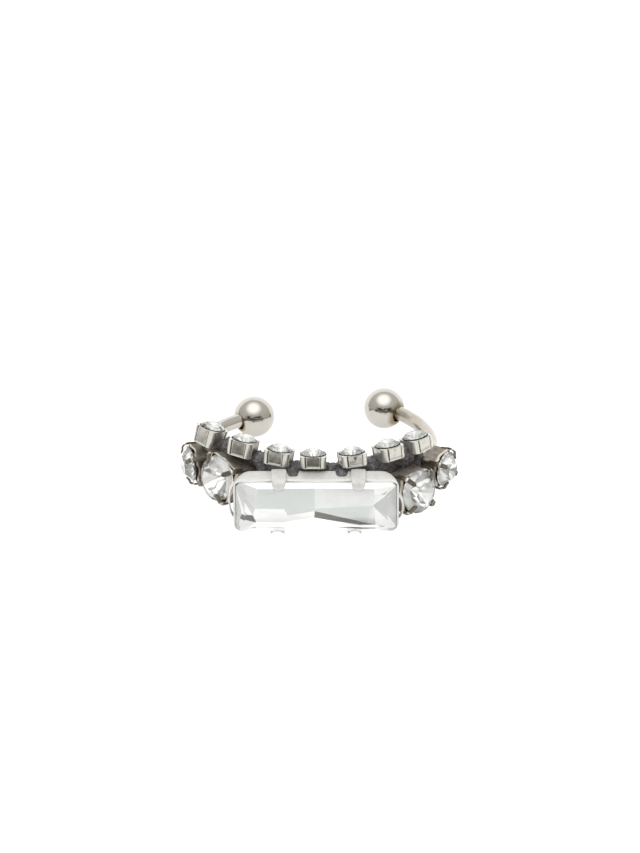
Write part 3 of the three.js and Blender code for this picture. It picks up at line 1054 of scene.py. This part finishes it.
for row in side_table:
    name = row["name"]
    stone = row["stone"]
    radius = stone / 2
    lean = Matrix.Rotation(radians(90 - row["lift"]), 4, "X")
    turn = Matrix.Rotation(radians(row["turn"]), 4, "Z") @ lean
    crystal = bmesh.new()
    first = round(8 * row["cut"])
    brilliant(
        crystal, radius, side_flat * radius, side_crown * radius, side_girdle,
        side_pavilion * radius - side_pavilion_short,
        pavilion_tones[first:] + pavilion_tones[:first], first=row["cut"] / 8,
    )
    node = "side_stone_" + name
    place = settled(node, turn, [vertex.co.copy() for vertex in crystal.verts])
    show("side_crystal_" + name, crystal, [crystal_glass, *foils], node, place, smooth=0)

    mount = blank_mesh()
    setting_walls(mount, stone, row["depth"], row["wear_and_painted_light"])
    corner = (setting_share * stone - 2 * setting_round) / sqrt(2) + setting_round
    shoulder = corner / 2 + claw_shoulder["share"] * radius - claw_shoulder["in"]
    claw_outline = [(corner + beyond, level) for beyond, level in claw_foot]
    claw_outline.append((shoulder, claw_shoulder["level"]))
    for share, above in claw_over:
        claw_outline.append((share * radius, crown_level(stone, share * radius) + above))
    for quarter in range(4):
        angle = radians(45 + 90 * quarter)
        radial = Vector((cos(angle), sin(angle), 0))
        route = [radial * reach + up * level for reach, level in claw_outline]
        strap(
            mount, smooth_run(route, strap_steps), radial.cross(up),
            lambda share: side_claw_half - side_claw_taper * share,
            side_claw_thickness, tip=side_claw_tip, sides=16, patina_and_painted_light=claw_wear_and_glint,
        )
    rolled = place @ Matrix.Rotation(radians(row["roll"]), 4, "Z")
    node = "side_setting_" + name
    show("side_mount_" + name, mount, [dark_plate], node, rolled, smooth=50)


# ---- the small cups ----
# Seven square cups of aged plate, stamped with a sunk panel in each side and a slot at each side
# of every corner post. The low round rim holds a small foiled stone, which stands up out of it.

# The tarnish colour also paints the shade in the slots, the V and the inside of the rim.
aged_plate = plate(
    "aged_plate", clean=(0.56, 0.55, 0.505), tarnish=(0.115, 0.108, 0.09),
    roughness=0.18, spots=0.45, dullness=0.25, mirror=0.7,
)

cup_half = 1.24
cup_corner = 0.5
cup_lean = 11
cup_pivot = -0.6
cup_rim = -0.14
cup_side_points = 36
cup_corner_points = 10
cup_wall_rows = 28
cup_wall_start = 0.09
cup_wall_short = 0.27
cup_wall_size = 0.967
cup_wall_flare = 0.033
cup_inside_reach = 1.22
post_wear = 0.06
# Where the panel, the slots and the painted V shadow begin and end, each with a soft edge: across
# the side from its middle, up from the foot, and down from the rim.
panel_across = (0.58, 0.67)
panel_foot = (0.16, 0.26)
panel_top = (-0.24, -0.14)
panel_sink = 0.05
panel_shade = (0.78, 0.4)
slot_place = 0.72
slot_across = (0.018, 0.0675)
slot_foot = (0.03, 0.1)
slot_top = (-0.2, -0.12)
slot_sink = 0.14
vee_shadow_half = 0.24
vee_shadow_high = -0.28
vee_shadow_taper = 0.5
vee_shadow_edge = (0.06, 0.05)
cup_stone_radius = 1.17
cup_stone_flat = 0.66
cup_stone_drop = -0.09
cup_stone_margin = 0.03
cup_stone_turns = (11, 7)
cup_crown = 0.31
cup_girdle = 0.14
cup_pavilion = 0.66
# The outline of a cup's solid, which places the cup: at the rim and at the foot, half its width,
# the share of that where the corners begin, and the level; the radius and level of its stone.
solid_squares = [(1.24, 0.82, -0.18), (1.19, 0.62, -1.35)]
solid_stone = (0.6, 0.3)
cup_panels = [
    {"height": 1.8, "vee_shadow": 0.0}, {"height": 1.62, "vee_shadow": 0.0}, {"height": 1.45, "vee_shadow": 0.0},
    {"height": 1.27, "vee_shadow": 0.0}, {"height": 1.28, "vee_shadow": 0.95}, {"height": 1.4, "vee_shadow": 0.5},
    {"height": 1.42, "vee_shadow": 0.3},
]


def cup_columns():
    """Points round the square outline, with their outward direction and place along their side."""
    straight = cup_half - cup_corner
    columns = []
    for side in range(4):
        turn = pi / 2 * side
        spin = Matrix.Rotation(turn, 2)
        for number in range(cup_side_points):
            beside = -straight + 2 * straight * number / cup_side_points
            columns.append((spin @ Vector((cup_half, beside)), spin @ Vector((1, 0)), beside))
        for number in range(cup_corner_points):
            bend = pi / 2 * number / cup_corner_points
            outward = Vector((cos(bend), sin(bend)))
            point = Vector((straight, straight)) + outward * cup_corner
            columns.append((spin @ point, spin @ outward, cup_half))
    return columns


def cup_rows(height):
    """Rows up the outside, over the rim and down the inside: the level, the size of the square,
    the share of a circle in the outline, and the radius of that circle."""
    foot = [(0.0, 0.93), (0.01, 0.955), (0.05, 0.965)]
    shoulder = [
        (-0.10, 0.999, 0.06, 1.29), (-0.065, 0.994, 0.18, 1.29), (-0.04, 0.986, 0.36, 1.285),
        (-0.02, 0.975, 0.6, 1.28), (-0.005, 0.965, 0.85, 1.27), (0.0, 0.95, 1, 1.26),
        (0.0, 1, 1, 1.24), (-0.015, 1, 1, 1.225), (-0.04, 1, 1, 1.215), (-0.09, 1, 1, 1.2),
        (-0.12, 1, 1, 1.12), (-0.6, 1, 1, 1.04), (-1.0, 1, 1, 0.9), (-1.02, 1, 1, 0.3),
    ]
    rows = [(-height + level, size, 0, 1) for level, size in foot]
    for row in range(cup_wall_rows + 1):
        share = row / cup_wall_rows
        level = -height + cup_wall_start + (height - cup_wall_short) * share
        rows.append((level, cup_wall_size + cup_wall_flare * share, 0, 1))
    return rows + [(cup_rim + level, *rest) for level, *rest in shoulder]


def sunk(beside, level, height):
    """How much of the panel, of its painted V shadow at the top and of the slots lies at a place on
    a side.
    """
    above = level + height
    panel = 1 - step(abs(beside), *panel_across)
    panel *= step(above, *panel_foot) * (1 - step(level, *panel_top))
    vee_shadow = step(vee_shadow_half - abs(beside) + (level - vee_shadow_high) * vee_shadow_taper, 0, vee_shadow_edge[0])
    vee_shadow *= step(vee_shadow_high - level, 0, vee_shadow_edge[1])
    slot = 1 - step(abs(abs(beside) - slot_place), *slot_across)
    slot *= step(above, *slot_foot) * (1 - step(level, *slot_top))
    return panel, vee_shadow, slot


def solid_outline():
    """Points on a cup's solid, as far out as it goes on every side."""
    points = []
    for half, share, level in solid_squares:
        for side in (-half, half):
            for other in (-half * share, half * share):
                points += [(side, other, level), (other, side, level)]
    reach, level = solid_stone
    for number in range(12):
        angle = radians(30 * number)
        points.append((reach * cos(angle), reach * sin(angle), level))
    return points


# Foils for the cup stones: their tones paint the reflections, and the last one darkens the girdle
# as painted shade under the stone's edge.
cup_foils = [
    foil("cup_foil_clear", (0.92, 0.92, 0.91), 0.16, 0.6),
    foil("cup_foil_lilac", (0.55, 0.52, 0.55), 0.16, 0.6),
    foil("cup_foil_leaf", (0.60, 0.63, 0.57), 0.16, 0.6),
    foil("cup_foil_dark", (0.27, 0.27, 0.26), 0.16, 0.7),
    foil("cup_foil_painted_shade", (0.06, 0.056, 0.05), 0.3, 0.5),
]
# The foil of each back facet of a cup stone, which paints its reflection.
cup_tones = [2, 1, 3, 1, 4, 2, 1, 3]
columns = cup_columns()
for number, (row, panels) in enumerate(zip(cup_table, cup_panels), 1):
    node = f"cup_{number}"
    tip = Matrix.Rotation(radians(row["tip"]), 4, "Y")
    turn = tip @ Matrix.Rotation(radians(row["turn"]), 4, "Z")
    height = panels["height"]
    cup = blank_mesh()
    rings = []
    marks = []
    for level, size, circle_share, reach in cup_rows(height):
        ring = []
        dark = []
        for point, outward, beside in columns:
            panel, vee_shadow, slot = sunk(beside, level, height) if circle_share < 1 else (0, 0, 0)
            angle = atan2(point.y, point.x)
            circle = Vector((cos(angle), sin(angle))) * reach
            flat = point * size * (1 - circle_share) + circle * circle_share
            flat -= outward * (panel_sink * panel + slot_sink * slot)
            ring.append((flat.x, flat.y, level))
            # Inside the rim the plate is painted dark: a painted shadow in the gap round the stone.
            inside = circle_share == 1 and reach < cup_inside_reach
            shaded = panel * (panel_shade[0] + panel_shade[1] * -level / height)
            least = 1.0 if inside else post_wear
            # Slots are painted dark as shade, the panel darkens towards the foot, and the V is a
            # painted shadow.
            dark.append(max(row["wear_and_painted_light"] * shaded, panels["vee_shadow"] * vee_shadow, slot, least))
        rings.append(ring)
        marks.append(dark)
    loops = skin(cup, rings)
    wear(cup, loops, lambda ring, point: marks[ring][point])
    place = settled(node, turn, solid_outline())
    pivot = Matrix.Translation((0, 0, cup_pivot))
    place = place @ pivot @ Matrix.Rotation(radians(-cup_lean), 4, "X") @ pivot.inverted()
    show(f"cup_metal_{number}", cup, [aged_plate], node, place, smooth=50)

    # The girdle takes the last foil: painted shade along the stone's edge.
    crystal = bmesh.new()
    flat = cup_stone_flat * cup_stone_radius
    brilliant(
        crystal, cup_stone_radius, flat, cup_crown, cup_girdle, cup_pavilion, cup_tones, edge=5,
    )
    highest = max((finger_axis / MM + place @ vertex.co).z for vertex in crystal.verts)
    over = highest + cup_stone_drop - cad_high.z / MM + cup_stone_margin
    first, each = cup_stone_turns
    seat = Matrix.Translation((0, 0, cup_stone_drop - max(0, over)))
    seat = seat @ Matrix.Rotation(radians(first + each * number), 4, "Z")
    finishes = [crystal_glass, *cup_foils]
    show(f"cup_crystal_{number}", crystal, finishes, node, place @ seat, smooth=0)
